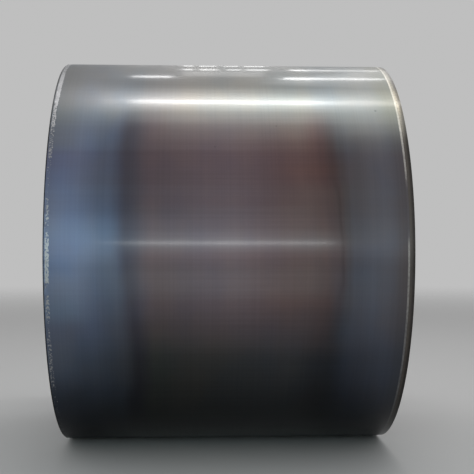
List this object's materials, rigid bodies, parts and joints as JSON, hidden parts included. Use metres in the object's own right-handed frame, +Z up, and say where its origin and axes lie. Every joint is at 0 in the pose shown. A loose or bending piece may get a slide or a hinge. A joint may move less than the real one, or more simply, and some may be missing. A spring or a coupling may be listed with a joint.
{
  "type": "steel coil",
  "caption": "Wide coil of heat-tinted cold rolled steel strip, wound flat around an open bore and lying on its side, with the outermost turns slipped a little along the bore.",
  "frame": {"origin": "under the middle of the coil, on the ground that it lies on", "axes": "+X along the bore, +Y to the back, +Z up"},
  "size_m": [1.2734, 1.54, 1.54],
  "materials": {
    "tinted_steel": "cold rolled strip, heat tinted: blue grey along both sides and brown grey in the middle, with fine rolling lines around the coil and bare bright steel at the trimmed edges"
  },
  "bodies": {
    "root": {"steel_coil": "tinted_steel"}
  },
  "joints": []
}
